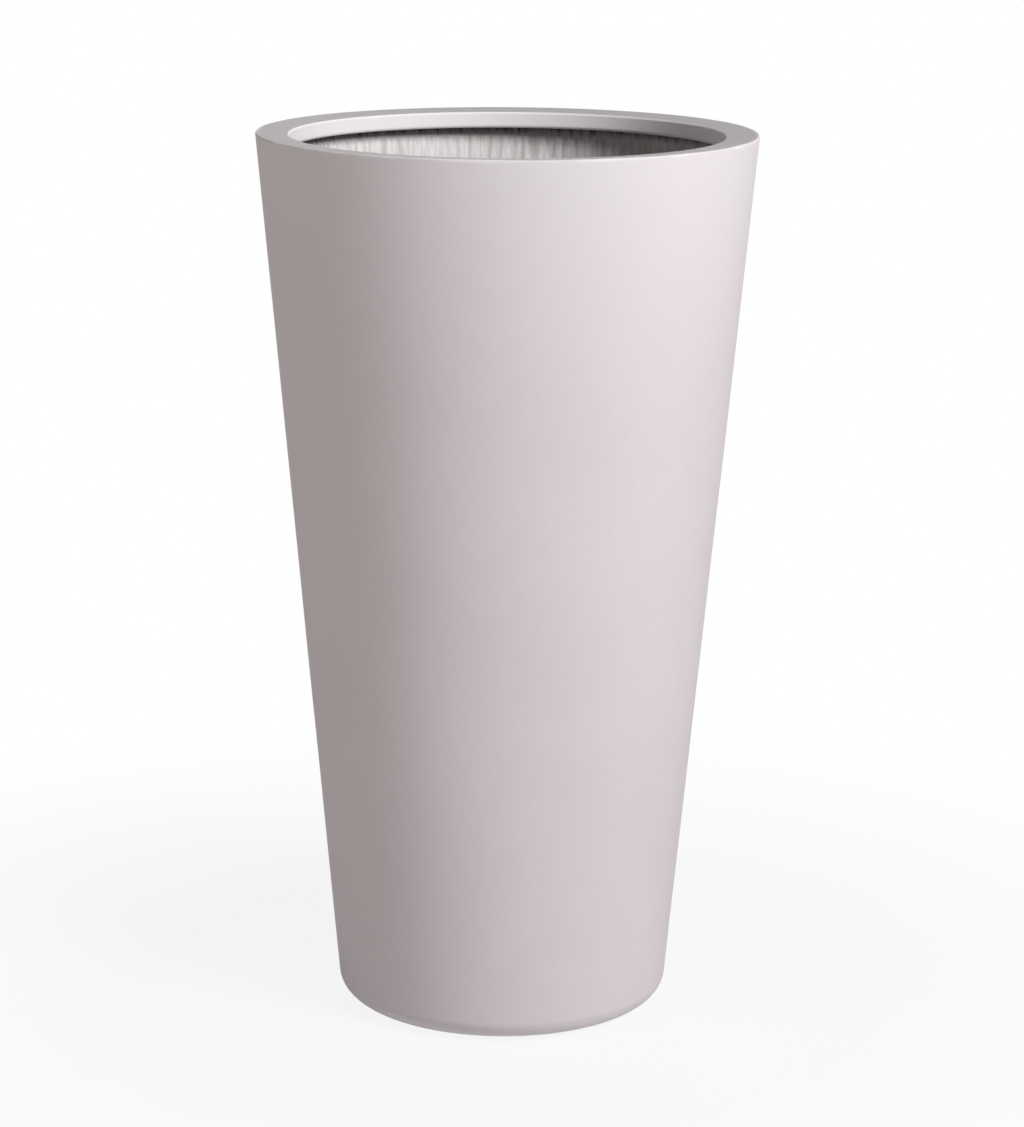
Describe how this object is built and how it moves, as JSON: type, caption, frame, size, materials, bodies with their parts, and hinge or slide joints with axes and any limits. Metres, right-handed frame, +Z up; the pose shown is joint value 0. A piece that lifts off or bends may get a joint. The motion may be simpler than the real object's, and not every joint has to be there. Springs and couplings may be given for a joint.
{
  "type": "tall tapered planter",
  "caption": "Tall round planter that tapers to a rounded foot, with a folded rim that falls slightly inwards, turned-down lip, rough fibre-lined inside, plugged floor drain and rubber foot pads.",
  "frame": {"origin": "on the floor, at the centre of the foot, under the planter's own axis", "axes": "+Z up along the planter's axis, +Y away from the viewer of the picture, +X to the viewer's right"},
  "size_m": [0.4446, 0.4446, 0.7999],
  "materials": {
    "matt_shell": "smooth matt, unglazed, pale warm grey",
    "raw_lining": "raw brushed fibre coat, upright streaks, sprayed pale near the top",
    "drain_plastic": "moulded, fine matt",
    "plug_rubber": "moulded matt rubber",
    "pad_rubber": "cut matt rubber sheet"
  },
  "bodies": {
    "planter": {"outer_shell": "matt_shell", "fibre_lining": "raw_lining", "drain_bushing": "drain_plastic", "foot_pad_1": "pad_rubber", "foot_pad_2": "pad_rubber", "foot_pad_3": "pad_rubber", "foot_pad_4": "pad_rubber"},
    "plug": {"drain_plug": "plug_rubber"}
  },
  "joints": [
    {"name": "plug_lift", "type": "slide", "parent": "planter", "child": "plug", "axis": [0, 0, 1], "range_m": [0, 0.82]}
  ]
}
